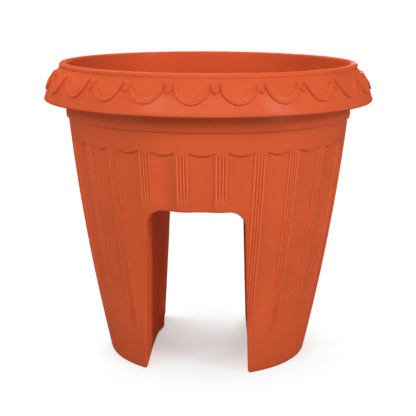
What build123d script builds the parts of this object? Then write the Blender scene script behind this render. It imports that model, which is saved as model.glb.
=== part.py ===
"""Round railing planter with two hollow legs, a festooned rim collar, drain plugs and soil grids.

Millimetres, +Z up. The pot's axis is the Z axis, the feet stand on Z = 0 and the slot that
straddles the railing runs along Y. The front of the planter faces -Y.
"""
from build123d import *
from math import cos, hypot, radians, sin, sqrt
import os

# ---------------------------------------------------------------- driving dimensions
# pot body
foot_radius = 98.0
body_top_radius = 137.0
body_top_height = 238.4
body_belly = 3.7                 # how far the side bows out from a straight cone
wall = 2.8
foot_edge_round = 2.0            # how far in the floor edge is rounded
foot_round_top = 3.0             # the rounding leaves the side a little below this height
foot_round_middle = (0.45, 0.65)  # a point of the rounding, in from the foot's edge and up

# neck and lip
neck_step = 2.0                  # the neck stands out from the body by this much
neck_flare = 1.8                 # radius gained up the neck
neck_height = 46.4
lip_overhang = 4.2
lip_height = 4.2
lip_round = 1.7                  # at the outer lower edge
lip_inner_round = 2.0

# flutes
flute_count = 24
flute_width = 22.3               # at the flute's top
flute_top_height = 214.0         # lowest point of the hollowed top edge
flute_top_sag = 3.0
flute_depth = 1.2                # at the top and halfway down
flute_end_depth = 0.5            # at the flute's foot
flute_end = 30.0                 # height of the flute's foot

# railing slot
slot_width = 96.6                # between the walls at the floor, in the front half
slot_height = 165.0
slot_offset = -6.0               # the slot stands off the pot's axis
slot_draft = 1.5                 # degrees
slot_crease = -20.0              # Y where the walls start to close in
slot_narrowing = 3.8             # each wall moves in by this much at the back edge
slot_corner_radius = 12.0
slot_edge_round = 1.8

# drain in each leg
leg_floor = 3.0
drain_bore_radius = 8.0
drain_bore_length = 6.0
drain_boss_wall = 3.0
plug_recess_radius = 13.0
plug_recess_depth = 3.0
plug_head_height = 2.2
plug_head_clearance = 0.5
plug_fit = 0.05                  # radial clearance of the stem in its bore
plug_tip_length = 2.0
plug_tip_taper = 0.8
plug_grip_radius = 9.0
plug_grip_width = 3.0
plug_grip_depth = 1.2

# soil grid in each leg
grid_height = 20.0
grid_thickness = 2.2
grid_clearance = 1.2
grid_hole_radius = 2.4
grid_hole_pitch = 8.4
grid_rim = 3.0
grid_peg_radius = 3.2
grid_peg_reach = 34.0            # Y distance of the pegs from the drain
grid_tab_reach = 46.0            # Y distance of the lifting tab from the drain
grid_tab_width = 13.0
grid_tab_height = 16.0
grid_tab_round = 4.0

# rim collar
collar_overhang = 15.0           # its lower edge stands out past the lip by this much
collar_height = 31.2
collar_wall = 2.4
collar_shoulder_drop = 14.3      # height of the rounded shoulder
collar_shoulder_bulge = 1.5
collar_skirt_flare = 5.0         # radius gained below the shoulder
collar_fit = 0.2
collar_hub_wall = 2.2
collar_hub_height = 8.8
collar_rib_count = 24
collar_rib_thickness = 1.6
snap_height = 0.9
snap_width = 3.0
snap_clearance = 0.3

# festoon on the collar
festoon_count = 24
festoon_phase = 4.4              # degrees from the front axis to the nearest dart
festoon_relief = 0.9
swag_half_width = 16.6
swag_top_drop = 6.2              # from the collar's top edge down to the swag's tips
swag_drop = 15.5                 # from the tips to the lowest point
swag_thickness = 5.8
dart_half_width = 3.7
dart_notch = 2.4
dart_drop = 6.6

# ---------------------------------------------------------------- derived sizes
neck_radius = body_top_radius + neck_step
neck_top_radius = neck_radius + neck_flare
neck_top = body_top_height + neck_height
lip_radius = neck_top_radius + lip_overhang
lip_top = neck_top + lip_height
lip_outer_round = lip_height - lip_round
collar_radius = lip_radius + collar_overhang
mouth_radius = neck_top_radius - wall
collar_bottom = neck_top - collar_height
sink = 1.0                       # how far cutters run past a face
ON_BASE = (Align.CENTER, Align.CENTER, Align.MIN)


def body_radius(z):
    """Outside radius of the pot's side at height z."""
    along = z / body_top_height
    straight = foot_radius + (body_top_radius - foot_radius) * along
    return straight + 4 * body_belly * along * (1 - along)


def body_arc(inset, low, high):
    """Three points of the pot's side, moved inwards, from height low to height high."""
    middle = (low + high) / 2
    return [(body_radius(z) - inset, z) for z in (low, middle, high)]


def quarter_arc(centre, radius, start):
    """A quarter circle about centre, from the angle start onwards, in degrees."""
    angles = [radians(start + turn) for turn in (0, 45, 90)]
    ThreePointArc(*[(centre[0] + radius * cos(a), centre[1] + radius * sin(a)) for a in angles])


# ---------------------------------------------------------------- railing slot
slot_half = slot_width / 2
slot_reach = collar_radius       # the cutter runs out past the pot, front and back
back_radius = body_radius(0)
back_wall_y = sqrt(back_radius ** 2 - slot_half ** 2)
narrowing_slope = slot_narrowing / (back_wall_y - slot_crease)
slot_half_far = slot_half - narrowing_slope * (slot_reach - slot_crease)


def slot_outline():
    """Corners of the slot at the floor, seen from above."""
    left, right = slot_offset - slot_half, slot_offset + slot_half
    left_far, right_far = slot_offset - slot_half_far, slot_offset + slot_half_far
    return [
        (left, -slot_reach), (right, -slot_reach), (right, slot_crease),
        (right_far, slot_reach), (left_far, slot_reach), (left, slot_crease),
    ]


def upper_long_edges(part):
    """The edges where a slot's walls meet its ceiling."""
    top = part.faces().sort_by(Axis.Z)[-1]
    return [edge for edge in top.edges() if abs(edge.tangent_at(0.5).Y) > 0.5]


with BuildPart() as slot:
    with BuildSketch():
        Polygon(*slot_outline(), align=None)
    extrude(amount=slot_height, taper=slot_draft)
    fillet(upper_long_edges(slot.part), slot_corner_radius)
    with BuildSketch():
        Polygon(*slot_outline(), align=None)
    extrude(amount=-sink)

with BuildPart() as slot_lining:
    with BuildSketch():
        Polygon(*slot_outline(), align=None)
        offset(amount=wall, kind=Kind.INTERSECTION)
    extrude(amount=slot_height + wall, taper=slot_draft)
    fillet(upper_long_edges(slot_lining.part), slot_corner_radius + wall)

# ---------------------------------------------------------------- places of the drains
inner_foot_radius = body_radius(leg_floor) - wall
left_wall_x = slot_offset - slot_half - wall
right_wall_x = slot_offset + slot_half + wall
drain_places = {
    "left": (left_wall_x - inner_foot_radius) / 2,
    "right": (right_wall_x + inner_foot_radius) / 2,
}
drain_boss_top = plug_recess_depth + drain_bore_length

# ---------------------------------------------------------------- pot shell
with BuildPart() as cavity:
    with BuildSketch(Plane.XZ):
        with BuildLine():
            Line((0, leg_floor), (inner_foot_radius, leg_floor))
            ThreePointArc(*body_arc(wall, leg_floor, body_top_height))
            Line((body_top_radius - wall, body_top_height),
                 (neck_radius - wall, body_top_height + neck_step))
            Line((neck_radius - wall, body_top_height + neck_step), (mouth_radius, neck_top))
            Line((mouth_radius, neck_top), (mouth_radius, lip_top + sink))
            Line((mouth_radius, lip_top + sink), (0, lip_top + sink))
            Line((0, lip_top + sink), (0, leg_floor))
        make_face()
    revolve(axis=Axis.Z)
    add(slot_lining.part, mode=Mode.SUBTRACT)

with BuildPart() as flute_ring:
    flute_middle = (flute_end + body_top_height) / 2
    floor_low = (body_radius(flute_end) - flute_end_depth, flute_end)
    floor_middle = (body_radius(flute_middle) - flute_depth, flute_middle)
    floor_top = (body_top_radius - flute_depth, body_top_height)
    ring_radius = neck_radius + sink
    with BuildSketch(Plane.XZ):
        with BuildLine():
            ThreePointArc(floor_low, floor_middle, floor_top)
            Polyline(floor_top, (ring_radius, body_top_height), (ring_radius, flute_end),
                     floor_low)
        make_face()
    revolve(axis=Axis.Z)

with BuildPart() as flute_cutter:
    with BuildSketch(Plane.XZ):
        top_half = flute_width / 2
        low_half = top_half * body_radius(flute_end) / body_radius(flute_top_height)
        top_corner = flute_top_height + flute_top_sag
        with BuildLine():
            ThreePointArc((-top_half, top_corner), (0, flute_top_height), (top_half, top_corner))
            Polyline((top_half, top_corner), (low_half, flute_end),
                     (-low_half, flute_end), (-top_half, top_corner))
        make_face()
    extrude(amount=ring_radius)
    add(flute_ring.part, mode=Mode.INTERSECT)

with BuildPart() as foot_rounding:
    with BuildSketch(Plane.XZ):
        with BuildLine():
            round_start = (foot_radius - foot_edge_round, 0)
            round_middle = (foot_radius - foot_round_middle[0], foot_round_middle[1])
            round_end = (foot_radius + sink, foot_round_top)
            ThreePointArc(round_start, round_middle, round_end)
            Polyline(round_end, (foot_radius + 2 * sink, foot_round_top),
                     (foot_radius + 2 * sink, -sink), (foot_radius - foot_edge_round, -sink),
                     round_start)
        make_face()
    revolve(axis=Axis.Z)

snap_low = neck_top - collar_hub_height - snap_clearance - snap_width
snap_high = snap_low + snap_width


def neck_radius_at(z):
    """Outside radius of the neck at height z."""
    return neck_radius + neck_flare * (z - body_top_height) / neck_height


with BuildPart() as pot_shell:
    with BuildSketch(Plane.XZ):
        with BuildLine():
            Line((0, 0), (foot_radius, 0))
            ThreePointArc(*body_arc(0, 0, body_top_height))
            Polyline(
                (body_top_radius, body_top_height),
                (neck_radius, body_top_height + neck_step / 2),
                (neck_radius_at(snap_low), snap_low),
                (neck_radius_at(snap_high) + snap_height, snap_high - snap_height / 2),
                (neck_radius_at(snap_high), snap_high),
                (neck_top_radius, neck_top),
                (lip_radius - lip_round / 4, neck_top),
                (lip_radius, neck_top + lip_round),
            )
            quarter_arc((lip_radius - lip_outer_round, lip_top - lip_outer_round), lip_outer_round, 0)
            Line((lip_radius - lip_outer_round, lip_top), (mouth_radius + lip_inner_round, lip_top))
            quarter_arc((mouth_radius + lip_inner_round, lip_top - lip_inner_round),
                        lip_inner_round, 90)
            Polyline((mouth_radius, lip_top - lip_inner_round), (mouth_radius, neck_top),
                     (0, neck_top), (0, 0))
        make_face()
    revolve(axis=Axis.Z)
    add(slot.part, mode=Mode.SUBTRACT)
    slot_mouth = [
        edge for edge in pot_shell.edges()
        if 0 < edge.center().Z < slot_height + sink
        and abs(edge.tangent_at(0.5).Y) < 0.5
        and hypot(edge.center().X, edge.center().Y) > back_wall_y
    ]
    fillet(slot_mouth, slot_edge_round)
    add(foot_rounding.part, mode=Mode.SUBTRACT)
    with PolarLocations(0, flute_count):
        add(flute_cutter.part, mode=Mode.SUBTRACT)
    add(cavity.part, mode=Mode.SUBTRACT)
    with Locations(*[(x, 0, 0) for x in drain_places.values()]):
        Cylinder(plug_recess_radius + drain_boss_wall, plug_recess_depth + leg_floor, align=ON_BASE)
        Cylinder(drain_bore_radius + drain_boss_wall, drain_boss_top, align=ON_BASE)
        Cylinder(plug_recess_radius, plug_recess_depth, align=ON_BASE, mode=Mode.SUBTRACT)
        Cylinder(drain_bore_radius, drain_boss_top, align=ON_BASE, mode=Mode.SUBTRACT)

# ---------------------------------------------------------------- rim collar
collar_bore = neck_top_radius + collar_fit
hub_radius = collar_bore + collar_hub_wall
hub_bottom = neck_top - collar_hub_height
collar_top_radius = lip_radius - lip_round / 4
shoulder_radius = collar_radius - collar_skirt_flare
shoulder_bottom = neck_top - collar_shoulder_drop
shoulder_run = shoulder_radius - collar_top_radius
shoulder_chord = hypot(shoulder_run, collar_shoulder_drop)
shoulder_out = (collar_shoulder_drop / shoulder_chord, shoulder_run / shoulder_chord)


def shoulder_middle(outwards):
    """Middle of the shoulder's arc, moved outwards from the collar's outer face."""
    reach = collar_shoulder_bulge + outwards
    return (
        (collar_top_radius + shoulder_radius) / 2 + reach * shoulder_out[0],
        neck_top - collar_shoulder_drop / 2 + reach * shoulder_out[1],
    )


def collar_face(outwards):
    """Line objects of the collar's outer face, moved outwards, from its top edge down."""
    top = (collar_top_radius + outwards * shoulder_out[0], neck_top + outwards * shoulder_out[1])
    shoulder = (shoulder_radius + outwards, shoulder_bottom)
    ThreePointArc(top, shoulder_middle(outwards), shoulder)
    Line(shoulder, (collar_radius + outwards, collar_bottom + collar_wall / 2))
    return top, (collar_radius + outwards, collar_bottom + collar_wall / 2)


with BuildPart() as festoon_band:
    with BuildSketch(Plane.XZ):
        with BuildLine():
            outer_top, outer_low = collar_face(festoon_relief)
            inner_top, inner_low = collar_face(-collar_wall / 2)
            Line(outer_top, inner_top)
            Line(outer_low, inner_low)
        make_face()
    revolve(axis=Axis.Z)

swag_tip = neck_top - swag_top_drop
swag_low = swag_tip - swag_drop
with BuildPart() as swag:
    with BuildSketch(Plane.XZ):
        tips = [(-swag_half_width, swag_tip), (swag_half_width, swag_tip)]
        with BuildLine():
            ThreePointArc(tips[0], (0, swag_low), tips[1])
            ThreePointArc(tips[0], (0, swag_low + swag_thickness), tips[1])
        make_face()
    extrude(amount=collar_radius + festoon_relief)
    add(festoon_band.part, mode=Mode.INTERSECT)

with BuildPart() as dart:
    with BuildSketch(Plane.XZ):
        Polygon((-dart_half_width, swag_tip + sink), (0, swag_tip + sink - dart_notch),
                (dart_half_width, swag_tip + sink), (0, swag_tip - dart_drop), align=None)
    extrude(amount=collar_radius + festoon_relief)
    add(festoon_band.part, mode=Mode.INTERSECT)

with BuildPart() as collar_rib:
    with BuildSketch(Plane.YZ):
        hub_middle = collar_bore + collar_hub_wall / 2
        web_middle = neck_top - collar_wall / 2
        middle_radius, middle_height = shoulder_middle(-collar_wall / 2)
        Polygon((-hub_middle, hub_bottom), (-middle_radius, hub_bottom),
                (-middle_radius, middle_height), (-collar_top_radius, web_middle),
                (-hub_middle, web_middle), align=None)
    extrude(amount=collar_rib_thickness / 2, both=True)

with BuildPart() as rim_collar:
    with BuildSketch(Plane.XZ):
        with BuildLine():
            face_top, face_low = collar_face(0)
            inner_low = (face_low[0] - collar_wall, face_low[1])
            ThreePointArc(face_low, ((face_low[0] + inner_low[0]) / 2, collar_bottom), inner_low)
            inner_shoulder = (shoulder_radius - collar_wall, shoulder_bottom)
            Line(inner_low, inner_shoulder)
            web_bottom = (hub_radius, neck_top - collar_wall)
            ThreePointArc(inner_shoulder, shoulder_middle(-collar_wall), web_bottom)
            Polyline(web_bottom, (hub_radius, hub_bottom), (collar_bore, hub_bottom),
                     (collar_bore, neck_top), face_top)
        make_face()
    revolve(axis=Axis.Z)
    with PolarLocations(0, collar_rib_count):
        add(collar_rib.part)
    with PolarLocations(0, festoon_count, start_angle=festoon_phase):
        add(dart.part)
    with PolarLocations(0, festoon_count, start_angle=festoon_phase + 180 / festoon_count):
        add(swag.part)

# ---------------------------------------------------------------- drain plug
plug_head_radius = plug_recess_radius - plug_head_clearance
plug_head_bottom = plug_recess_depth - plug_head_height
stem_radius = drain_bore_radius - plug_fit
stem_top = drain_boss_top + plug_tip_length


def drain_plug_at(x):
    """A push-in plug in the recess under the leg whose drain stands at x."""
    with BuildPart() as plug:
        with Locations((x, 0, plug_head_bottom)):
            Cylinder(plug_head_radius, plug_head_height, align=ON_BASE)
        with Locations((x, 0, plug_recess_depth)):
            Cylinder(stem_radius, stem_top - plug_recess_depth, align=ON_BASE)
        chamfer(plug.faces().sort_by(Axis.Z)[-1].edges(), plug_tip_taper)
        with BuildSketch(Plane.XY.offset(plug_head_bottom)):
            with Locations((x, 0)):
                Circle(plug_grip_radius)
                Rectangle(plug_grip_width, 2 * plug_grip_radius, mode=Mode.SUBTRACT)
        extrude(amount=plug_grip_depth, mode=Mode.SUBTRACT)
    return plug


# ---------------------------------------------------------------- soil grid
grid_bottom = grid_height - grid_thickness
grid_radius = body_radius(grid_bottom) - wall - grid_clearance


def grid_holes(x, wall_x):
    """Centres of the grid's holes, clear of its rim, its lifting tab and its pegs."""
    side = 1 if wall_x > 0 else -1
    columns = range(-int(grid_radius / grid_hole_pitch), int(grid_radius / grid_hole_pitch) + 1)
    blocked = [(x, sign * grid_peg_reach) for sign in (-1, 1)] + [(x, grid_tab_reach)]
    margin = grid_hole_radius + grid_rim
    holes = []
    for row in columns:
        for column in columns:
            spot = (x + column * grid_hole_pitch, row * grid_hole_pitch)
            clear_of_wall = side * (spot[0] - wall_x) > margin
            clear_of_rim = hypot(*spot) < grid_radius - margin
            clear_of_blocks = all(
                abs(spot[0] - bx) > grid_tab_width / 2 + grid_hole_radius
                or abs(spot[1] - by) > grid_peg_radius + grid_hole_radius
                for bx, by in blocked
            )
            if clear_of_wall and clear_of_rim and clear_of_blocks:
                holes.append(spot)
    return holes


def soil_grid_at(x, wall_x):
    """A perforated plate on two pegs that keeps the soil above the drain at x."""
    side = 1 if wall_x > 0 else -1
    edge_x = wall_x + side * grid_clearance
    with BuildPart() as grid:
        with BuildSketch(Plane.XY.offset(grid_bottom)):
            Circle(grid_radius)
            with Locations((edge_x - side * grid_radius, 0)):
                Rectangle(2 * grid_radius, 2 * grid_radius, mode=Mode.SUBTRACT)
            with Locations(*grid_holes(x, wall_x)):
                Circle(grid_hole_radius, mode=Mode.SUBTRACT)
        extrude(amount=grid_thickness)
        with Locations(*[(x, sign * grid_peg_reach, leg_floor) for sign in (-1, 1)]):
            Cylinder(grid_peg_radius, grid_bottom - leg_floor, align=ON_BASE)
        with BuildSketch(Plane.XZ.offset(-grid_tab_reach)):
            with Locations((x, grid_height)):
                tab = Rectangle(grid_tab_width, grid_tab_height, align=(Align.CENTER, Align.MIN))
            fillet(tab.vertices().group_by(Axis.Z)[-1], grid_tab_round)
        extrude(amount=grid_thickness / 2, both=True)
    return grid


# ---------------------------------------------------------------- files
finished = {"pot_shell": pot_shell, "rim_collar": rim_collar}
wall_places = {"left": left_wall_x, "right": right_wall_x}
for leg, drain_x in drain_places.items():
    finished[f"drain_plug_{leg}"] = drain_plug_at(drain_x)
    finished[f"soil_grid_{leg}"] = soil_grid_at(drain_x, wall_places[leg])

os.makedirs("parts", exist_ok=True)
for name, piece in finished.items():
    piece.part.label = name
    export_step(piece.part, f"parts/{name}.step")
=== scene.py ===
"""A railing planter: a fluted pot on two hollow legs, with a festooned rim collar.

Metres, +Z up. The pot's axis is the Z axis, the feet stand on Z = 0, the railing slot runs
along Y and the front faces -Y.
"""

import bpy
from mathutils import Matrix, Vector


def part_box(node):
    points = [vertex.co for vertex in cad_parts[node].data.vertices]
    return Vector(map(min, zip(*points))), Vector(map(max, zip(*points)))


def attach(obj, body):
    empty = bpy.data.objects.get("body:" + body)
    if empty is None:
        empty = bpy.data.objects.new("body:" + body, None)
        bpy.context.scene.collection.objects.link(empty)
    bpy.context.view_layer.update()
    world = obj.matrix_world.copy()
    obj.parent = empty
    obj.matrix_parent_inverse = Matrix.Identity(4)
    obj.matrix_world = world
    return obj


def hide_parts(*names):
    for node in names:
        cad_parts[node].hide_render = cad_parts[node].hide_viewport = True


bl_info = {
    "name": "Railing planter",
    "version": (1, 0, 0),
    "blender": (4, 5, 0),
    "location": "3D View > Sidebar > Planter",
    "description": "Builds the moulded planter, its drain plugs and soil grids, and a plain studio",
    "category": "Object",
}

from math import cos, exp, pi, radians, sin, sqrt, tan

import bpy
import numpy as np
from mathutils import Matrix, Vector

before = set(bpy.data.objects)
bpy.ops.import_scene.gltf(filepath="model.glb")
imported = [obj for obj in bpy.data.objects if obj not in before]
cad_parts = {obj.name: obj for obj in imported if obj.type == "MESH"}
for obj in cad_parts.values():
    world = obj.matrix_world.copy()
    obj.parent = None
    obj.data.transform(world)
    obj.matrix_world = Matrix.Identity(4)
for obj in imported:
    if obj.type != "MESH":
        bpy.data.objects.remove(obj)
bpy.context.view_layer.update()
LEGS = ("left", "right")
FLUTES = 24
PERIOD = 2 * pi / FLUTES
HOLLOW_SHARE = 0.965  # share of a flute's half width taken by its hollow floor
GROOVE_ENDS = (0.028, 0.055)  # the grooves fade out between these heights on the legs
GROOVE_ENDS_OVER_SLOT = (0.1702, 0.1775)  # and between these above the slot
COLLAR_TOP = 0.2848


# ---------------------------------------------------------------- properties a user would change
def length(name, description, default):
    """A length property in metres."""
    return bpy.props.FloatProperty(name=name, description=description, default=default,
                                   min=0.0, unit="LENGTH")


def colour(name, description, default):
    """A colour property."""
    return bpy.props.FloatVectorProperty(name=name, description=description, default=default,
                                         size=3, min=0.0, max=1.0, subtype="COLOR")


def angle(name, description, degrees):
    """An angle property."""
    return bpy.props.FloatProperty(name=name, description=description, default=radians(degrees),
                                   unit="ROTATION")


class PotSizes(bpy.types.PropertyGroup):
    """Sizes of the pot shell."""
    foot_radius: length("Foot radius", "Outside radius at the floor", 0.098)
    top_radius: length("Top radius", "Outside radius under the neck", 0.137)
    side_height: length("Side height", "Height of the sloping side", 0.2384)
    belly: length("Belly", "How far the side bows out", 0.0037)
    wall: length("Wall", "Wall thickness", 0.0028)
    neck_step: length("Neck step", "How far the neck stands out from the side", 0.002)
    neck_bottom: length("Neck bottom", "Height of the step under the neck", 0.2372)
    neck_top: length("Neck top", "Height of the lip's underside", 0.2848)
    neck_top_radius: length("Neck top radius", "Outside radius under the lip", 0.1408)
    lip_radius: length("Lip radius", "Outside radius of the lip", 0.145)
    lip_top: length("Lip top", "Height of the lip", 0.289)
    leg_floor: length("Leg floor", "Thickness of each leg's floor", 0.003)


class FluteSizes(bpy.types.PropertyGroup):
    """Sizes of the flutes and of the fine grooves between them."""
    half_angle: angle("Half angle", "Half of a flute, seen from the pot's axis", 4.95)
    depth: length("Depth", "Depth in the middle of a flute", 0.0025)
    edge_depth: length("Edge depth", "Height of the small wall along a flute's edges", 0.0008)
    top: length("Top", "Height of the top edge, in its middle", 0.2162)
    sag: length("Sag", "How much lower the top edge is in its middle", 0.003)
    fade_start: length("Fade start", "Height where the hollows begin to fade", 0.095)
    fade_end: length("Fade end", "Height where the hollows are gone", 0.034)
    groove_depth: length("Groove depth", "Depth of the fine grooves", 0.0011)
    groove_half: angle("Groove half width", "Half of one groove, seen from the pot's axis", 0.45)
    groove_top: length("Groove top", "Height of the grooves' top ends", 0.2161)
    groove_pitch: angle("Groove pitch", "Angle between two grooves", 1.24)


class SlotSizes(bpy.types.PropertyGroup):
    """Sizes of the railing slot."""
    half_width: length("Half width", "Half of the slot at the floor, in front", 0.0483)
    height: length("Height", "Height of the slot's ceiling", 0.1645)
    offset: bpy.props.FloatProperty(name="Offset", description="X of the slot's middle",
                                    default=-0.006, unit="LENGTH")
    draft: angle("Draft", "Lean of each wall", 1.5)
    crease: bpy.props.FloatProperty(name="Crease", description="Y where the walls start to close",
                                    default=-0.020, unit="LENGTH")
    closing: bpy.props.FloatProperty(name="Closing", description="Closing of each wall per metre",
                                     default=0.0361)
    corner: length("Corner", "Radius of the upper corners", 0.015)
    edge_round: length("Edge round", "Rounding of the mouth's edges", 0.0018)
    foot_round: length("Foot round", "Rounding where the walls meet the floor", 0.003)
    heel: length("Heel", "Swelling low on the left wall, towards the back", 0.0036)
    heel_middle: length("Heel middle", "Y of the swelling's middle", 0.0417)
    heel_spread: length("Heel spread", "How quickly the swelling falls off along Y", 0.0120)
    heel_low: length("Heel low", "Height where the swelling begins to fade", 0.0175)
    heel_high: length("Heel high", "Height where the swelling is gone", 0.0291)


class CollarSizes(bpy.types.PropertyGroup):
    """Sizes of the rim collar and its festoon."""
    radius: length("Radius", "Outside radius at the lower edge", 0.160)
    bottom: length("Bottom", "Height of the lower edge", 0.2530)
    edge_round: length("Edge round", "Rounding of the lower edge", 0.0018)
    shoulder_radius: length("Shoulder radius", "Outside radius under the shoulder", 0.155)
    shoulder_bottom: length("Shoulder bottom", "Height where the shoulder ends", 0.2705)
    bulge: length("Bulge", "How far the shoulder bows out", 0.0004)
    wall: length("Wall", "Wall thickness", 0.0024)
    relief: length("Relief", "Height of the festoon", 0.0017)
    swag_half: length("Swag half width", "From a swag's middle to its tip", 0.0156)
    swag_top: length("Swag top", "Height of a swag's tips", 0.2797)
    swag_bottom: length("Swag bottom", "Height of a swag's lowest point", 0.2631)
    swag_thick: length("Swag thickness", "Width of a swag in its middle", 0.0062)
    dart_half: length("Dart half width", "Half of the dart between two swags", 0.0042)
    dart_notch: length("Dart notch", "From the dart's tips down to its notch", 0.0044)
    dart_drop: length("Dart drop", "From the swags' tips down to the dart's point", 0.0078)
    phase: angle("Phase", "From the front to the nearest dart", 4.55)


class Colours(bpy.types.PropertyGroup):
    """Colours of the finishes."""
    terracotta: colour("Terracotta", "Main colour of the moulded plastic", (0.635, 0.100, 0.032))
    grid: colour("Grid", "Colour of the soil grids", (0.30, 0.07, 0.035))
    floor: colour("Floor", "Colour of the studio floor", (0.90, 1.0, 1.0))
    floor_bounce: colour("Floor bounce", "Tone of the floor as the planter sees it",
                         (0.26, 0.26, 0.26))


# ---------------------------------------------------------------- edit-mode helpers
def nothing_selected():
    """Leave edit mode and deselect everything."""
    if bpy.context.object and bpy.context.object.mode != "OBJECT":
        bpy.ops.object.mode_set(mode="OBJECT")
    bpy.ops.object.select_all(action="DESELECT")


def make_active(piece):
    """Select one piece alone."""
    nothing_selected()
    piece.select_set(True)
    bpy.context.view_layer.objects.active = piece


def drawn_line(name, points):
    """A chain of edges through (x, z) points, drawn by extruding one vertex."""
    nothing_selected()
    bpy.ops.mesh.primitive_plane_add(size=0.01)
    piece = bpy.context.object
    piece.name = name
    bpy.ops.object.mode_set(mode="EDIT")
    bpy.ops.mesh.select_all(action="SELECT")
    bpy.ops.mesh.merge(type="CENTER")
    x, z = points[0]
    bpy.ops.transform.translate(value=(x, 0, z))
    for (x0, z0), (x1, z1) in zip(points, points[1:]):
        bpy.ops.mesh.extrude_region_move(
            TRANSFORM_OT_translate={"value": (x1 - x0, 0, z1 - z0)})
    return piece


def turned(name, points, steps):
    """A solid of revolution: a drawn profile of (radius, height), spun around the pot's axis."""
    piece = drawn_line(name, points)
    bpy.ops.mesh.select_all(action="SELECT")
    bpy.ops.mesh.spin(steps=steps, angle=2 * pi, center=(0, 0, 0), axis=(0, 0, 1))
    bpy.ops.mesh.select_all(action="SELECT")
    bpy.ops.mesh.remove_doubles(threshold=1e-6)
    bpy.ops.mesh.normals_make_consistent(inside=False)
    bpy.ops.object.mode_set(mode="OBJECT")
    return piece


def points_of(piece):
    """The vertices of a piece as an array."""
    flat = np.zeros(len(piece.data.vertices) * 3)
    piece.data.vertices.foreach_get("co", flat)
    return flat.reshape(-1, 3)


def move_points(piece, points):
    """Put the vertices of a piece at these places."""
    piece.data.vertices.foreach_set("co", np.asarray(points, float).ravel())
    piece.data.update()


def shifted(piece, x):
    """Shift the vertices of a piece along X."""
    points = points_of(piece)
    points[:, 0] += x
    move_points(piece, points)
    return piece


def bevelled(piece, width, limit=30):
    """Round the edges sharper than an angle."""
    modifier = piece.modifiers.new("edges", "BEVEL")
    modifier.width = width
    modifier.segments = 2
    modifier.angle_limit = radians(limit)
    bpy.ops.object.modifier_apply(modifier=modifier.name)


def tube(name, loops):
    """A closed skin over loops of points, with an end face on the first and the last loop."""
    loops = np.asarray(loops, float)
    rows, columns = loops.shape[:2]
    faces = []
    for row in range(rows - 1):
        for column in range(columns):
            after = (column + 1) % columns
            low, high = row * columns, (row + 1) * columns
            faces.append((low + column, low + after, high + after, high + column))
    faces.append(tuple(range(columns)))
    faces.append(tuple(range((rows - 1) * columns, rows * columns)))
    mesh = bpy.data.meshes.new(name)
    mesh.from_pydata(loops.reshape(-1, 3).tolist(), [], faces)
    piece = bpy.data.objects.new(name, mesh)
    bpy.context.scene.collection.objects.link(piece)
    face_outwards(piece)
    return piece


def face_outwards(piece):
    """Merge doubles and turn every face outwards."""
    make_active(piece)
    bpy.ops.object.mode_set(mode="EDIT")
    bpy.ops.mesh.select_all(action="SELECT")
    bpy.ops.mesh.remove_doubles(threshold=1e-7)
    bpy.ops.mesh.normals_make_consistent(inside=False)
    bpy.ops.object.mode_set(mode="OBJECT")


def cut(piece, tool):
    """Take the tool's solid out of the piece and throw the tool away."""
    make_active(piece)
    modifier = piece.modifiers.new("cut", "BOOLEAN")
    modifier.operation = "DIFFERENCE"
    modifier.object = tool
    modifier.solver = "EXACT"
    bpy.ops.object.modifier_apply(modifier=modifier.name)
    bpy.data.objects.remove(tool)


def joined(pieces, name):
    """Join pieces into the first one."""
    nothing_selected()
    for piece in pieces:
        piece.select_set(True)
    bpy.context.view_layer.objects.active = pieces[0]
    bpy.ops.object.join()
    pieces[0].name = name
    return pieces[0]


def copied_around(piece, count):
    """The piece and its copies around the pot's axis, each copy with its own mesh."""
    pieces = [piece]
    for index in range(1, count):
        mesh = piece.data.copy()
        mesh.transform(Matrix.Rotation(2 * pi * index / count, 4, "Z"))
        copy = bpy.data.objects.new(piece.name, mesh)
        bpy.context.scene.collection.objects.link(copy)
        pieces.append(copy)
    return pieces


def smooth(piece, degrees):
    """Smooth shading up to an angle."""
    make_active(piece)
    bpy.ops.object.shade_smooth_by_angle(angle=radians(degrees))


def arc(centre, radius, start, end, steps):
    """Points on a circle, from one angle to another in degrees."""
    turns = np.radians(np.linspace(start, end, steps))
    return [(centre[0] + radius * cos(t), centre[1] + radius * sin(t)) for t in turns]


def smooth_step(value, low, high):
    """0 below low, 1 above high and smooth between."""
    share = np.clip((value - low) / (high - low), 0, 1)
    return share * share * (3 - 2 * share)


# ---------------------------------------------------------------- the pot's side
def body_radius(z):
    """Outside radius of the plain side at height z, a number or a shader's channel."""
    s = bpy.context.scene.planter_pot
    along = z * (1 / s.side_height)
    straight = s.foot_radius + (s.top_radius - s.foot_radius) * along
    return straight + 4 * s.belly * along * (1 - along)


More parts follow.
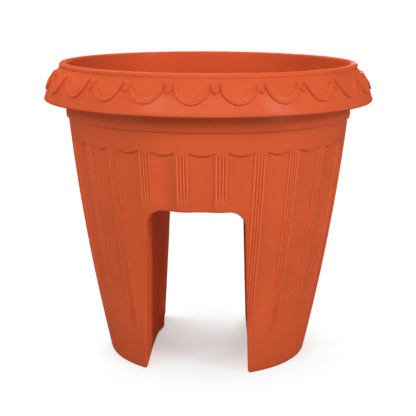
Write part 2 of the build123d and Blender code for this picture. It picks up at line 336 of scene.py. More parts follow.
def side_relief(turn, z, step=1.0):
    """Depth of the flutes and grooves at an angle and a height; step fades the flutes' tops."""
    f = bpy.context.scene.planter_flutes
    off = (turn + PERIOD / 2) % PERIOD - PERIOD / 2
    across = np.abs(off) / f.half_angle
    hollow = f.edge_depth + (f.depth - f.edge_depth) * (1 - (across / HOLLOW_SHARE) ** 2)
    edge = np.where(across < 1, f.edge_depth * (1 - across) / (1 - HOLLOW_SHARE), 0)
    flute = np.where(across <= HOLLOW_SHARE, hollow, edge)
    flute = flute * smooth_step(z, f.fade_end, f.fade_start) * step
    beside = np.abs(off) - PERIOD / 2
    groove = np.minimum(np.abs(beside), np.abs(np.abs(beside) - f.groove_pitch))
    depth = np.where(groove < f.groove_half, 0.5 + 0.5 * np.cos(pi * groove / f.groove_half), 0)
    depth = depth * (across > 1)
    middle = np.round((turn - PERIOD / 2) / PERIOD) * PERIOD + PERIOD / 2
    over_slot = above_slot(middle)
    low_end, full_end = [np.where(over_slot, over, leg)
                         for over, leg in zip(GROOVE_ENDS_OVER_SLOT, GROOVE_ENDS)]
    top_slope = 0.0006
    depth = depth * np.clip((z - low_end) / (full_end - low_end), 0, 1)
    depth = depth * np.clip((f.groove_top - z) / top_slope, 0, 1)
    return flute + f.groove_depth * depth


def above_slot(turn):
    """Whether the side at this angle runs down onto the slot's ceiling."""
    slot = bpy.context.scene.planter_slot
    radius = body_radius(slot.height)
    x, y = radius * np.cos(turn), radius * np.sin(turn)
    half = slot_half(y) - slot.height * tan(slot.draft)
    groove_room = 0.003
    return np.abs(x - slot.offset) < half + groove_room


def flute_columns():
    """Angles of the mesh's columns within one flute and the pilaster after it, in degrees."""
    f = bpy.context.scene.planter_flutes
    edge = f.half_angle * 180 / pi
    pitch = f.groove_pitch * 180 / pi
    flute = [0, 0.95, 1.9, 2.85, 3.75, 4.35, edge * HOLLOW_SHARE, edge, edge + 0.2]
    middle = 180 / FLUTES
    grooves = []
    half = f.groove_half * 180 / pi
    for place in (-pitch, 0, pitch):
        grooves += [middle + place + half * share for share in (-1, -0.6, -0.25, 0.25, 0.6, 1)]
    back = [2 * middle - value for value in reversed(flute[1:])]
    return flute + grooves + back


def fluted(piece, top_rows):
    """Shift a turned pot's vertices into flutes, pilasters and fine grooves.

    The top rows are pairs of a height and the share of the flutes' depth that is left there.
    """
    f = bpy.context.scene.planter_flutes
    pot = bpy.context.scene.planter_pot
    columns = np.radians(flute_columns())
    count = len(columns) * FLUTES
    points = points_of(piece)
    radius = np.hypot(points[:, 0], points[:, 1])
    index = np.round(np.arctan2(points[:, 1], points[:, 0]) / (2 * pi / count)).astype(int) % count
    turn = (index // len(columns)) * PERIOD + columns[index % len(columns)]
    z = points[:, 2].copy()
    off = (turn + PERIOD / 2) % PERIOD - PERIOD / 2
    across = np.clip(np.abs(off) / f.half_angle, 0, 1)
    below = smooth_step(z, f.top - 0.016, f.top - 0.008)
    above = smooth_step(z, f.top + 0.003, f.top + 0.014)
    lifted = z + f.sag * across ** 2 * (below * (1 - above))
    step = np.interp(z, *zip(*top_rows))
    on_side = (z > 0.003) & (z < pot.neck_bottom - 0.002) & (radius > 0.08)
    flat = body_radius(lifted) - side_relief(turn, lifted, step)
    radius = np.where(on_side, flat, radius)
    z = np.where(on_side, lifted, z)
    move_points(piece, np.column_stack((radius * np.cos(turn), radius * np.sin(turn), z)))


# ---------------------------------------------------------------- the railing slot
def slot_half(y):
    """Half of the slot's width at the floor, at depth y."""
    s = bpy.context.scene.planter_slot
    return s.half_width - np.maximum(y - s.crease, 0) * s.closing


def heel_share(y, z):
    """How far the left wall's low swelling has risen at a place on the wall."""
    s = bpy.context.scene.planter_slot
    low = 1 - float(smooth_step(z, s.heel_low, s.heel_high))
    return low * exp(-((y - s.heel_middle) / s.heel_spread) ** 2)


def slot_stations(rounded=True):
    """The slot's outline as stations from the left foot over the ceiling to the right foot.

    Each station is (side, place, outward shift, height, normal). The side is -1 left, 1 right and
    0 on the ceiling. The place is None on a wall, degrees on a corner and a share of the ceiling's
    half width on the ceiling.
    """
    s = bpy.context.scene.planter_slot
    corner_z = s.height - s.corner
    below_floor = -0.02
    if rounded:
        r = s.foot_round
        flare = r + 0.0015
        left = [(below_floor, flare), (-0.0012, flare)]
        for z in (0.0, 0.12 * r, 0.4 * r, 0.75 * r):
            left.append((z, r - sqrt(max(r * r - (r - z) ** 2, 0))))
    else:
        left = [(below_floor, 0)]
    left += [(z, 0) for z in (0.0025, 0.008, 0.014, 0.0175, 0.0205, 0.0235, 0.0265, 0.0295,
                              0.038, 0.050, 0.062, 0.075, 0.088, 0.101, 0.114, 0.127, 0.140,
                              corner_z)]

    def corner(side, start, end):
        return [(side, turn, 0, corner_z, (cos(radians(turn)), sin(radians(turn))))
                for turn in np.linspace(start, end, 10)[1:-1]]

    stations = [(-1, None, shift, z, (-1, 0)) for z, shift in left]
    stations += corner(-1, 180, 90)
    stations += [(0, share, 0, s.height, (0, 1)) for share in np.linspace(-1, 1, 13)]
    stations += corner(1, 90, 0)
    return stations + [(1, None, shift, z, (1, 0)) for z, shift in reversed(left)]


def slot_point(station, y, grow=0.0):
    """X and Z of an outline station at depth y, the outline grown by a wall."""
    s = bpy.context.scene.planter_slot
    side, place, shift, z, _ = station
    corner_z = s.height - s.corner
    lean = tan(s.draft)
    corner_half = slot_half(y) - corner_z * lean - s.corner
    if side == 0:
        return s.offset + place * corner_half, z + grow
    if place is None:
        heel = s.heel * heel_share(y, z) if side < 0 else 0
        return s.offset + side * (slot_half(y) - max(z, 0) * lean + shift + grow - heel), z
    reach = s.corner + grow
    turn = radians(place)
    return s.offset + side * corner_half + reach * cos(turn), corner_z + reach * sin(turn)


def skin_radius(turn, z):
    """Outside radius of the fluted side at an angle and a height, from the floor up."""
    height = max(z, 0.0)
    return float(body_radius(height) - side_relief(np.array(turn), np.array(height)))


def on_skin(station, front):
    """Where an outline station meets the pot's side, front (-1) or back (+1)."""
    y = front * 0.1
    for _ in range(12):
        x, z = slot_point(station, y)
        radius = skin_radius(np.arctan2(y, x), z)
        y = front * sqrt(max(radius ** 2 - x * x, 1e-6))
    return Vector((x, y, z))


def lifted_on_skin(point, lift):
    """A point pulled onto the pot's side, then lifted off it."""
    turn = np.arctan2(point.y, point.x)
    radius = skin_radius(turn, point.z) + lift
    return Vector((radius * cos(turn), radius * sin(turn), point.z))


def mouth_curve(station, front):
    """Points of the rounded mouth edge at one station, from outside the pot to the slot's wall."""
    s = bpy.context.scene.planter_slot
    edge = on_skin(station, front)
    margin, clearance, far_y = 0.0025, 0.001, 0.19
    near = 0.001
    slope = (body_radius(edge.z + near) - body_radius(edge.z - near)) / (2 * near)
    outward = Vector((edge.x, edge.y, 0)).normalized() - Vector((0, 0, slope))
    outward.normalize()
    normal = Vector((station[4][0], 0, station[4][1]))
    along_y = -outward.dot(normal) / outward.y
    skin_way = (normal + Vector((0, along_y, 0))).normalized()
    into = Vector((0, -front, 0))
    half = skin_way.angle(into) / 2
    reach = s.edge_round / tan(half)
    start = lifted_on_skin(edge + skin_way * reach, 0)
    outer = lifted_on_skin(edge + skin_way * (reach + margin), clearance)
    end_y = edge.y + into.y * reach
    x, z = slot_point(station, end_y)
    end = Vector((x, end_y, z))
    far = Vector((outer.x, front * far_y, outer.z))
    rounding = [start.lerp(edge, share).lerp(edge.lerp(end, share), share)
                for share in (0.0, 0.2, 0.4, 0.6, 0.8, 1.0)]
    return [far, outer] + rounding


def slot_tool():
    """The solid that is cut out for the railing, with rounded mouths front and back."""
    s = bpy.context.scene.planter_slot
    depths = (s.crease, 0.004, 0.018, 0.027, 0.034, 0.040, 0.046, 0.052, 0.060, 0.068)
    columns = []
    for station in slot_stations():
        wall = []
        for y in depths:
            x, z = slot_point(station, y)
            wall.append(Vector((x, y, z)))
        columns.append(mouth_curve(station, -1) + wall + mouth_curve(station, 1)[::-1])
    return tube("slot tool", list(zip(*columns)))


def lining_tool(grow):
    """The slot's outline grown by the wall, as a long solid that is kept out of the cavity."""
    s = bpy.context.scene.planter_slot
    loops = []
    for y in (-0.2, s.crease, 0.2):
        row = []
        for station in slot_stations(rounded=False):
            x, z = slot_point(station, y, grow)
            row.append((x, y, z))
        loops.append(row)
    return tube("lining tool", loops)


# ---------------------------------------------------------------- node materials
class Channel:
    """A shader socket that can be used in arithmetic."""

    def __init__(self, finish, socket):
        self.finish = finish
        self.socket = socket

    def _math(self, operation, first, second):
        return self.finish.add("ShaderNodeMath", {"operation": operation}, {0: first, 1: second})

    def __add__(self, other):
        return self._math("ADD", self, other)

    def __radd__(self, other):
        return self._math("ADD", other, self)

    def __sub__(self, other):
        return self._math("SUBTRACT", self, other)

    def __rsub__(self, other):
        return self._math("SUBTRACT", other, self)

    def __mul__(self, other):
        return self._math("MULTIPLY", self, other)

    def __rmul__(self, other):
        return self._math("MULTIPLY", other, self)

    def __pow__(self, other):
        return self._math("POWER", self, other)

    def __abs__(self):
        return self.finish.add("ShaderNodeMath", {"operation": "ABSOLUTE"}, {0: self})

    def folded(self, half_period):
        """The distance to the nearest multiple of twice the half period."""
        return self._math("PINGPONG", self, half_period)


class Finish:
    """A node material being put together."""

    def __init__(self, name):
        self.material = bpy.data.materials.new(name)
        self.material.use_nodes = True
        self.tree = self.material.node_tree
        self.tree.nodes.clear()

    def add(self, kind, settings=None, sockets=None, output=0):
        """Make a node: its settings first, then the values or links of its sockets."""
        node = self.tree.nodes.new(kind)
        for key, value in (settings or {}).items():
            if key == "stops":
                ramp = node.color_ramp
                while len(ramp.elements) < len(value):
                    ramp.elements.new(1.0)
                for element, (place, shade) in zip(ramp.elements, value):
                    element.position = place
                    element.color = (shade, shade, shade, 1.0)
            else:
                setattr(node, key, value)
        for key, value in (sockets or {}).items():
            if isinstance(value, Channel):
                self.tree.links.new(value.socket, node.inputs[key])
            else:
                node.inputs[key].default_value = value
        return Channel(self, node.outputs[output]) if node.outputs else None

    def place(self):
        """The place on the piece, in object space."""
        return self.add("ShaderNodeTexCoord", output=3)

    def split(self, where):
        """X, Y and Z of a place."""
        node = self.add("ShaderNodeSeparateXYZ", None, {"Vector": where}).socket.node
        return [Channel(self, socket) for socket in node.outputs]

    def noise(self, where, scale, detail):
        """Noise from 0 to 1 in object space."""
        return self.add("ShaderNodeTexNoise", {"noise_dimensions": "3D"},
                        {"Vector": where, "Scale": scale, "Detail": detail, "Roughness": 0.5})

    def mixed(self, share, first, second):
        """A colour between two colours."""
        return self.add("ShaderNodeMix", {"data_type": "RGBA", "clamp_factor": True},
                        {0: share, 6: first, 7: second}, output=2)

    def faded(self, value, low, high):
        """1 below the low value, 0 above the high one, softly between."""
        return self.add("ShaderNodeMapRange", {"interpolation_type": "SMOOTHSTEP"},
                        {"Value": value, "From Min": low, "From Max": high,
                         "To Min": 1.0, "To Max": 0.0})

    def done(self, shader):
        """Link the material's surface."""
        self.add("ShaderNodeOutputMaterial", None, {"Surface": shader})
        return self.material


def slot_share(finish, where):
    """1 on the slot's walls and ceiling, 0 on the rest of the outside."""
    slot = bpy.context.scene.planter_slot
    blend = 0.0025
    x, _, z = finish.split(where)
    between = finish.faded(abs(x - slot.offset), slot.half_width, slot.half_width + blend)
    return between * finish.faded(z, slot.height, slot.height + blend)


def crest_highlight_share(finish, where):
    """1 on the crests beside the pilasters' fine grooves, where a paler colour is painted as a
    highlight, 0 elsewhere.
    """
    f = bpy.context.scene.planter_flutes
    slot = bpy.context.scene.planter_slot
    pitch = f.groove_pitch
    groove_side = (0.24 * pitch, 0.42 * pitch)
    pilaster_edge = (1.7 * pitch, 2.0 * pitch)
    skin = (0.0012, 0.0020)
    top_end = (f.groove_top - 0.0008, f.groove_top)
    leg_end = (GROOVE_ENDS[0], 0.080)
    ceiling_end = (GROOVE_ENDS_OVER_SLOT[0], 0.1765)
    ceiling_half = (0.0485, 0.0500)
    x, y, z = finish.split(where)
    turn = finish.add("ShaderNodeMath", {"operation": "ARCTAN2"}, {0: y, 1: x})
    beside = PERIOD / 2 - turn.folded(PERIOD / 2)
    crest = 1 - finish.faded(beside.folded(pitch / 2), *groove_side)
    crest = crest * finish.faded(beside, *pilaster_edge)
    outside = finish.faded(body_radius(z) - (x * x + y * y) ** 0.5, *skin)
    upper = finish.faded(z, *top_end)
    over_slot = finish.faded(abs(x - slot.offset), *ceiling_half)
    cut_short = over_slot * finish.faded(z, *ceiling_end)
    lower = (1 - finish.faded(z, *leg_end)) * (1 - cut_short)
    return crest * outside * upper * lower


def scaled(base, scale):
    """A colour with its three parts multiplied, as RGBA."""
    return tuple(min(value * share, 1.0) for value, share in zip(base, scale)) + (1.0,)


def moulded_plastic(name, base, roughness, grain, gloss):
    """Satin injection-moulded plastic: soft mottling, a fine spark-eroded grain, uneven sheen.

    The crests beside the fine grooves get a paler colour, a painted highlight, and the slot's walls
    have little gloss.
    """
    finish = Finish(name)
    where = finish.place()
    cloud = finish.noise(where, 14.0, 3.0)
    speck = finish.noise(where, 420.0, 2.0)
    # The crests' colour scale is a painted highlight, paler and less saturated than the base.
    mottling, crest_highlight, gloss_lost_in_slot = 0.07, (1.19, 1.43, 1.68), 0.85
    tone = finish.add("ShaderNodeValToRGB", {"stops": [(0.35, 0.0), (0.65, 1.0)]},
                      {"Fac": cloud * 0.7 + speck * 0.3})
    paint = finish.mixed(tone, scaled(base, (1 - mottling,) * 3), scaled(base, (1 + mottling,) * 3))
    # Paint the painted highlight on the crests beside the fine grooves.
    paint = finish.mixed(crest_highlight_share(finish, where), paint, scaled(base, crest_highlight))
    sheen = roughness + (cloud - 0.5) * 0.10 + (speck - 0.5) * 0.06
    skin = gloss + (cloud - 0.5) * (gloss * 0.4)
    skin = skin * (1 - slot_share(finish, where) * gloss_lost_in_slot)
    fine = finish.noise(where, 1500.0, 1.0)
    waves = finish.noise(where, 45.0, 1.0)
    relief = fine * grain + waves * (grain * 2.0)
    bump = finish.add("ShaderNodeBump", None,
                      {"Strength": 0.35, "Distance": 0.0004, "Height": relief})
    shader = finish.add("ShaderNodeBsdfPrincipled", None,
                        {"Base Color": paint, "Roughness": sheen, "Normal": bump,
                         "Specular IOR Level": 0.0, "Coat Weight": skin, "Coat Roughness": 0.26})
    return finish.done(shader)


def dressed(piece, material, body, node):
    """Give a piece its finish and its place in the frame."""
    piece.data.materials.clear()
    piece.data.materials.append(material)
    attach(piece, body)
    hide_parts(node)


def terracotta():
    """The planter's own plastic, made once."""
    name = "terracotta plastic"
    base = tuple(bpy.context.scene.planter_colours.terracotta)
    known = bpy.data.materials.get(name)
    return known or moulded_plastic(name, base, roughness=0.40, grain=0.10, gloss=0.14)


def plug_middle(leg):
    """X of a leg's drain plug, from the frame."""
    low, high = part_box(f"drain_plug_{leg}")
    return (low.x + high.x) / 2


# ---------------------------------------------------------------- operators
class PLANTER_OT_pot_shell(bpy.types.Operator):
    """Turn the pot, flute its side, hollow it and cut the railing slot."""
    bl_idname = "planter.pot_shell"
    bl_label = "Pot shell"

    def outer_profile(self, top_rows):
        """The pot's outside from the middle of the foot to the middle of the lip's plane."""
        s = bpy.context.scene.planter_pot
        foot = [(0, 0), (0.06, 0), (s.foot_radius - 0.002, 0), (s.foot_radius - 0.0011, 0.0002),
                (s.foot_radius - 0.0004, 0.0007), (body_radius(0.002), 0.0021)]
        heights = [0.0045, 0.010, 0.016, 0.022, 0.028, 0.034, 0.040, 0.046, 0.053, 0.061, 0.070,
                   0.080, 0.092, 0.105, 0.118, 0.131, 0.144, 0.155, 0.163, 0.1675, 0.1702,
                   0.1738, 0.1775, 0.183, 0.189, 0.195, 0.200, 0.2035, 0.2070, 0.2098, 0.2117,
                   0.2129, 0.2135]
        heights += [row[0] for row in top_rows] + [0.2182, 0.2202, 0.2235, 0.228, 0.233]
        side = [(body_radius(z), z) for z in heights]
        side_top = body_radius(s.neck_bottom)
        neck_low = s.neck_bottom + 0.0003
        neck_radius = s.top_radius + s.neck_step
        step = [(side_top, s.neck_bottom - 0.0006), (side_top + 0.0003, s.neck_bottom),
                (neck_radius - 0.0004, neck_low), (neck_radius, neck_low + 0.0005)]
        rise = (s.neck_top_radius - neck_radius) / (s.neck_top - neck_low)
        neck = [(neck_radius + rise * (z - neck_low), z) for z in (0.246, 0.256, 0.266, 0.2727)]
        ridge = [(neck_radius + rise * 0.0355 + 0.0009, 0.27525),
                 (neck_radius + rise * 0.036, 0.2757), (s.neck_top_radius, s.neck_top)]
        lip_low = [(s.lip_radius - 0.0005, s.neck_top),
                   (s.lip_radius - 0.0003, s.neck_top + 0.0004),
                   (s.lip_radius, s.neck_top + 0.0012)]
        crown = 0.0025
        lip = arc((s.lip_radius - crown, s.lip_top - crown), crown, 0, 90, 7)
        top = [(s.lip_radius - 0.0037, s.lip_top), (0, s.lip_top)]
        return foot + side + step + neck + ridge + lip_low + lip + top

    def cavity(self):
        """The room inside the pot, still without the slot's lining and the drain bosses."""
        s = bpy.context.scene.planter_pot
        mouth = s.neck_top_radius - s.wall
        lip_round = 0.0021
        round_z = s.lip_top - lip_round
        low = body_radius(s.leg_floor) - s.wall
        points = [(0, s.leg_floor), (low - 0.003, s.leg_floor)]
        points += [(low - 0.0012, s.leg_floor + 0.0006), (low + 0.0002, s.leg_floor + 0.0025)]
        points += [(body_radius(z) - s.wall, z) for z in np.linspace(0.014, s.side_height, 16)]
        points += [(s.top_radius + s.neck_step - s.wall, s.side_height + 0.002)]
        points += [(mouth, s.neck_top), (mouth, round_z)]
        points += arc((mouth + lip_round, round_z), lip_round, 180, 100, 6)[1:]
        points += [(mouth + 0.0022, s.lip_top + 0.002), (0, s.lip_top + 0.002)]
        return turned("cavity tool", points, 144)

    def execute(self, context):
        s = context.scene.planter_pot
        top = context.scene.planter_flutes.top
        ledge = ((-0.0021, 1.0), (-0.0015, 1.0), (-0.0009, 1.0), (-0.0004, 0.96), (-0.0001, 0.85),
                 (0.0002, 0.12), (0.0004, 0.03), (0.0009, 0.0))
        top_rows = [(top + rise, share) for rise, share in ledge]
        count = len(flute_columns()) * FLUTES
        shell = turned("pot_shell_moulding", self.outer_profile(top_rows), count)
        fluted(shell, top_rows)
        cut(shell, slot_tool())
        hollow = self.cavity()
        cut(hollow, lining_tool(s.wall))
        boss = [(0, -0.01), (0.016, -0.01), (0.016, 0.0055), (0.0155, 0.006), (0.0112, 0.006),
                (0.011, 0.0062), (0.011, 0.0086), (0.0106, 0.009), (0, 0.009)]
        bore = [(0, -0.01), (0.0136, -0.01), (0.0136, 0), (0.013, 0.0006), (0.013, 0.003),
                (0.008, 0.003), (0.008, 0.0086), (0.0085, 0.0091), (0, 0.0091)]
        for leg in LEGS:
            cut(hollow, shifted(turned("boss tool", boss, 48), plug_middle(leg)))
        cut(shell, hollow)
        for leg in LEGS:
            cut(shell, shifted(turned("bore tool", bore, 48), plug_middle(leg)))
        smooth(shell, 38)
        dressed(shell, terracotta(), "planter", "pot_shell")
        return {"FINISHED"}


class PLANTER_OT_rim_collar(bpy.types.Operator):
    """Turn the rim collar and lay the festoon of swags and darts on it."""
    bl_idname = "planter.rim_collar"
    bl_label = "Rim collar"

    def face(self, outwards=0.0):
        """The collar's outer face from its top edge to its lower edge, as (radius, height)."""
        c = bpy.context.scene.planter_collar
        top = Vector((0.144575, COLLAR_TOP))
        low = Vector((c.shoulder_radius, c.shoulder_bottom))
        edge = Vector((c.radius, c.bottom + c.edge_round))
        chord = low - top
        way = Vector((-chord.y, chord.x)).normalized()
        points = []
        for share in np.linspace(0, 1, 13):
            bulge = 4 * c.bulge * share * (1 - share)
            points.append(top + chord * share + way * (bulge + outwards))
        for share in (0.15, 0.35, 0.6, 0.85, 1.0):
            points.append(low.lerp(edge, share) + Vector((outwards, 0)))
        return points

    def execute(self, context):
        c = context.scene.planter_collar
        outer = [tuple(point) for point in self.face()]
        inner = [tuple(point) for point in self.face(-c.wall)]
        small = c.wall - c.edge_round
        low = arc((c.radius - c.edge_round, c.bottom + c.edge_round), c.edge_round, 0, -80, 6)
        low += arc((c.radius - c.wall + small, c.bottom + small), small, -90, -180, 4)
        under_top = COLLAR_TOP - c.wall
        hub = [(0.1432, under_top), (0.1432, 0.2765), (0.1427, 0.276), (0.1414, 0.276),
               (0.1410, 0.2765), (0.1410, 0.2843), (0.1414, 0.2847)]
        inner = [point for point in inner if point[1] < under_top]
        ring = outer + low[1:] + inner[::-1][1:] + hub
        collar = turned("rim_collar_moulding", ring + ring[:1], 288)
        pieces = [collar] + self.festoon() + self.ribs()
        collar = joined(pieces, "rim_collar_moulding")
        smooth(collar, 38)
        dressed(collar, terracotta(), "planter", "rim_collar")
        return {"FINISHED"}

    def on_face(self, x, z, height, centre):
        """A point of the festoon: x around, z up, height off the collar's face."""
        radii, heights = zip(*reversed(self.face()))
        near = 0.0005
        below, radius, above = np.interp((z - near, z, z + near), heights, radii)
        slope = (above - below) / (2 * near)
        tilt = sqrt(1 + slope * slope)
        turn = centre + x / radius
        out = radius + height / tilt
        return Vector((out * cos(turn), out * sin(turn), z - height * slope / tilt))

    def swag(self, centre):
        """One crescent of cloth hung between two darts, as a raised shape with sloping sides."""
        c = bpy.context.scene.planter_collar
        section = [(-0.04, -0.5), (0.0, 0.0), (0.05, 0.44), (0.13, 0.50), (0.30, 0.36),
                   (0.55, 0.56), (0.82, 0.98), (0.93, 0.98), (1.0, 0.0), (1.03, -0.5)]
        drop = c.swag_top - c.swag_bottom
        roundness = 1.9
        loops = []
        for share in np.sin(np.linspace(-pi / 2, pi / 2, 35)):
            x = c.swag_half * share
            bow = (1 - abs(share) ** roundness) ** (1 / roundness)
            outer = c.swag_top - drop * bow - 0.0012 * (1 - bow)
            inner = c.swag_top - (drop - c.swag_thick) * (1 - abs(share) ** 2.1)
            inner += 0.0006 * abs(share)
            row = []
            for place, height in section:
                z = inner + (outer - inner) * place
                row.append(self.on_face(x, z, c.relief * height, centre))
            loops.append(row)
        return tube("swag", loops)

    def dart(self, centre):
        """The small folded dart between two swags."""
        c = bpy.context.scene.planter_collar
        section = [(-0.08, -0.5), (0.0, 0.1), (0.12, 0.9), (0.82, 1.0), (1.0, 0.1), (1.08, -0.5)]
        side_drop = 0.0040
        loops = []
        for share in np.linspace(-1, 1, 9):
            x = c.dart_half * share
            upper = c.swag_top + 0.0004 - c.dart_notch * (1 - abs(share))
            lower = c.swag_top - side_drop - (c.dart_drop - side_drop) * (1 - abs(share))
            fold = 0.25 + 0.95 * (1 - abs(share))
            row = []
            for place, height in section:
                z = upper + (lower - upper) * place
                row.append(self.on_face(x, z, c.relief * height * fold, centre))
            loops.append(row)
        return tube("dart", loops)

    def festoon(self):
        """One dart and one swag, modelled once and copied around."""
        front = bpy.context.scene.planter_collar.phase - pi / 2
        darts = copied_around(self.dart(front), FLUTES)
        swags = copied_around(self.swag(front + PERIOD / 2), FLUTES)
        return darts + swags

    def ribs(self):
        """Thin webs under the shoulder, modelled once and copied around."""
        half = 0.0008
        outline = [(0.1421, 0.276), (0.1489, 0.276), (0.1492, 0.2772), (0.1440, 0.2832),
                   (0.1421, 0.2836)]
        loops = [[(x, y, z) for x, z in outline] for y in (-half, half)]
        return copied_around(tube("rib", loops), FLUTES)


class PLANTER_OT_drain_plugs(bpy.types.Operator):
    """Turn the two push-in drain plugs."""
    bl_idname = "planter.drain_plugs"
    bl_label = "Drain plugs"

    def execute(self, context):
        recess_depth, head_height, stem_radius = 0.0012, 0.0022, 0.00795
        bar_size = (0.003, 0.0184, 0.0014)
        for leg in LEGS:
            low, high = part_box(f"drain_plug_{leg}")
            head = low.z
            recess, shoulder = head + recess_depth, head + head_height
            points = [(0, recess), (0.0082, recess), (0.009, head + 0.0004), (0.0094, head),
                      (0.0119, head), (0.0125, head + 0.0006), (0.0125, head + 0.0017),
                      (0.0120, shoulder), (stem_radius, shoulder),
                      (stem_radius, high.z - 0.0008), (0.0072, high.z), (0, high.z)]
            name = f"drain_plug_{leg}_moulding"
            x = plug_middle(leg)
            plug = shifted(turned(name, points, 64), x)
            bpy.ops.mesh.primitive_cube_add(size=1, location=(x, 0, head + bar_size[2] / 2))
            bar = bpy.context.object
            bar.scale = bar_size
            bpy.ops.object.transform_apply(location=True, rotation=True, scale=True)
            bevelled(bar, 0.0004)
            plug = joined([plug, bar], name)
            smooth(plug, 35)
            dressed(plug, terracotta(), f"plug_{leg}", f"drain_plug_{leg}")
        return {"FINISHED"}


class PLANTER_OT_soil_grids(bpy.types.Operator):
    """Round the edges of the two soil grids and give them their own plastic."""
    bl_idname = "planter.soil_grids"
    bl_label = "Soil grids"

    def execute(self, context):
        base = tuple(context.scene.planter_colours.grid)
        material = moulded_plastic("grid plastic", base, roughness=0.55, grain=0.16, gloss=0.15)
        for leg in LEGS:
            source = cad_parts[f"soil_grid_{leg}"]
            grid = bpy.data.objects.new(f"soil_grid_{leg}_moulding", source.data.copy())
            context.scene.collection.objects.link(grid)
            make_active(grid)
            bpy.ops.object.mode_set(mode="EDIT")
            bpy.ops.mesh.select_all(action="SELECT")
            bpy.ops.mesh.remove_doubles(threshold=1e-6)
            bpy.ops.mesh.dissolve_limited(angle_limit=radians(1))
            bpy.ops.object.mode_set(mode="OBJECT")
            bevelled(grid, 0.0003, 50)
            smooth(grid, 35)
            dressed(grid, material, f"grid_{leg}", f"soil_grid_{leg}")
        return {"FINISHED"}


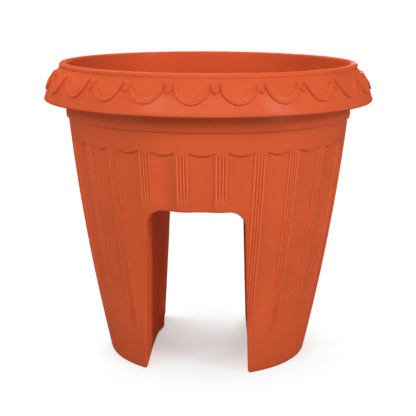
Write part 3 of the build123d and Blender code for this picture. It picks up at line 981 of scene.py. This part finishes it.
class PLANTER_OT_studio(bpy.types.Operator):
    """A pale floor, soft studio lamps and the camera."""
    bl_idname = "planter.studio"
    bl_label = "Studio"

    # name, place, target, size, power
    LAMPS = (
        ("key", (-0.07, -1.75, 1.22), (0, 0, 0.16), (2.2, 1.0), 21.5),
        ("left", (-1.105, -1.489, 1.146), (0, 0, 0.16), (0.4, 0.4), 6),
        ("right", (1.377, -1.156, 1.037), (0, 0, 0.16), (0.4, 0.4), 9.5),
        ("strip", (1.3, -0.84, 0.25), (0, 0, 0.16), (0.25, 0.5), 5.5),
        ("fill", (-1.3, -0.6, 0.2), (0, 0, 0.16), (0.5, 0.3), 3.4),
        ("back", (-0.5, 1.1, 1.7), (0, 0.2, 0), (1.8, 1.0), 37),
        ("rear", (0.25, 1.2, 0.2), (0, 0, 0.1), (0.3, 0.3), 9),
    )

    def floor_material(self):
        """A floor that the camera sees pale, glowing to white away from the planter's shadow."""
        finish = Finish("studio floor")
        colours = bpy.context.scene.planter_colours
        pale = tuple(colours.floor) + (1.0,)
        dull = tuple(colours.floor_bounce) + (1.0,)
        shadow_middle = (-0.01, 0.05, 0.0)
        shadow_reach = {"From Min": 0.06, "From Max": 0.20}
        glow_share = {"To Min": 0.30, "To Max": 1.0}
        ray = finish.add("ShaderNodeLightPath")
        shade = finish.mixed(ray, dull, pale)
        surface = finish.add("ShaderNodeBsdfPrincipled", None,
                             {"Base Color": shade, "Roughness": 0.9,
                              "Specular IOR Level": 0.1})
        glow = finish.add("ShaderNodeEmission", None,
                          {"Color": (1.0, 1.0, 1.0, 1.0), "Strength": 1.0})
        away = finish.add("ShaderNodeVectorMath", {"operation": "DISTANCE"},
                          {0: finish.place(), 1: shadow_middle}, output=1)
        share = finish.add("ShaderNodeMapRange", {"interpolation_type": "SMOOTHSTEP"},
                           {"Value": away, **shadow_reach, **glow_share})
        mix = finish.add("ShaderNodeMixShader", None, {0: ray * share, 1: surface, 2: glow})
        return finish.done(mix)

    def world(self, room_light):
        """A white backdrop for the camera, and soft light from all round for the planter."""
        world = bpy.data.worlds.new("studio")
        world.use_nodes = True
        nodes, links = world.node_tree.nodes, world.node_tree.links
        room = nodes["Background"]
        room.inputs["Strength"].default_value = room_light
        path = nodes.new("ShaderNodeLightPath")
        white = nodes.new("ShaderNodeBackground")
        mix = nodes.new("ShaderNodeMixShader")
        for background in (room, white):
            background.inputs["Color"].default_value = (1.0, 1.0, 1.0, 1.0)
        links.new(path.outputs["Is Camera Ray"], mix.inputs[0])
        links.new(room.outputs[0], mix.inputs[1])
        links.new(white.outputs[0], mix.inputs[2])
        links.new(mix.outputs[0], nodes["World Output"].inputs["Surface"])
        bpy.context.scene.world = world

    def lamp(self, name, place, target, size, power):
        """A rectangular lamp in metres and watts, turned towards its target."""
        data = bpy.data.lights.new(name, "AREA")
        data.shape = "RECTANGLE"
        data.size, data.size_y = size
        data.energy = power
        lamp = bpy.data.objects.new(name, data)
        bpy.context.scene.collection.objects.link(lamp)
        lamp.location = place
        way = Vector(target) - Vector(place)
        lamp.rotation_euler = way.to_track_quat("-Z", "Y").to_euler()

    def camera(self):
        """The camera, a little above the rim and a little to the right of the front."""
        place, focal_length = Vector((0.04366, -1.0338, 0.3665)), 90.87
        heading, pitch, roll = radians(2.416), radians(12.26), radians(0.21)
        forward = Vector((-sin(heading) * cos(pitch), cos(heading) * cos(pitch), -sin(pitch)))
        right = Vector((cos(heading), sin(heading), 0))
        up = right.cross(forward)
        turned_right = right * cos(roll) + up * sin(roll)
        turned_up = up * cos(roll) - right * sin(roll)
        data = bpy.data.cameras.new("view")
        data.sensor_width = 36
        data.lens = focal_length
        data.clip_end = 30
        camera = bpy.data.objects.new("view", data)
        bpy.context.scene.collection.objects.link(camera)
        axes = Matrix((turned_right, turned_up, -forward)).transposed().to_4x4()
        axes.translation = place
        camera.matrix_world = axes
        bpy.context.scene.camera = camera

    def execute(self, context):
        nothing_selected()
        bpy.ops.mesh.primitive_circle_add(vertices=96, radius=2.1, fill_type="NGON")
        floor = bpy.context.object
        floor.name = "studio_floor"
        floor.data.materials.append(self.floor_material())
        self.world(0.21)
        for lamp in self.LAMPS:
            self.lamp(*lamp)
        self.camera()
        context.scene.view_settings.view_transform = "Standard"
        return {"FINISHED"}


class PLANTER_PT_panel(bpy.types.Panel):
    """The planter's operators in the sidebar."""
    bl_idname = "PLANTER_PT_panel"
    bl_label = "Railing planter"
    bl_space_type = "VIEW_3D"
    bl_region_type = "UI"
    bl_category = "Planter"

    def draw(self, context):
        for operator in OPERATORS:
            self.layout.operator(operator.bl_idname)


OPERATORS = (PLANTER_OT_pot_shell, PLANTER_OT_rim_collar, PLANTER_OT_drain_plugs,
             PLANTER_OT_soil_grids, PLANTER_OT_studio)
GROUPS = {
    "planter_pot": PotSizes,
    "planter_flutes": FluteSizes,
    "planter_slot": SlotSizes,
    "planter_collar": CollarSizes,
    "planter_colours": Colours,
}
CLASSES = tuple(GROUPS.values()) + OPERATORS + (PLANTER_PT_panel,)


def register():
    """Register the classes and hang the sizes on the scene."""
    for each in CLASSES:
        bpy.utils.register_class(each)
    for name, group in GROUPS.items():
        setattr(bpy.types.Scene, name, bpy.props.PointerProperty(type=group))


def unregister():
    """Take everything back off."""
    for name in GROUPS:
        delattr(bpy.types.Scene, name)
    for each in reversed(CLASSES):
        bpy.utils.unregister_class(each)


def main():
    """Build everything in order."""
    register()
    bpy.ops.planter.studio()
    bpy.ops.planter.pot_shell()
    bpy.ops.planter.rim_collar()
    bpy.ops.planter.drain_plugs()
    bpy.ops.planter.soil_grids()
    bpy.context.view_layer.update()


if __name__ == "__main__":
    main()
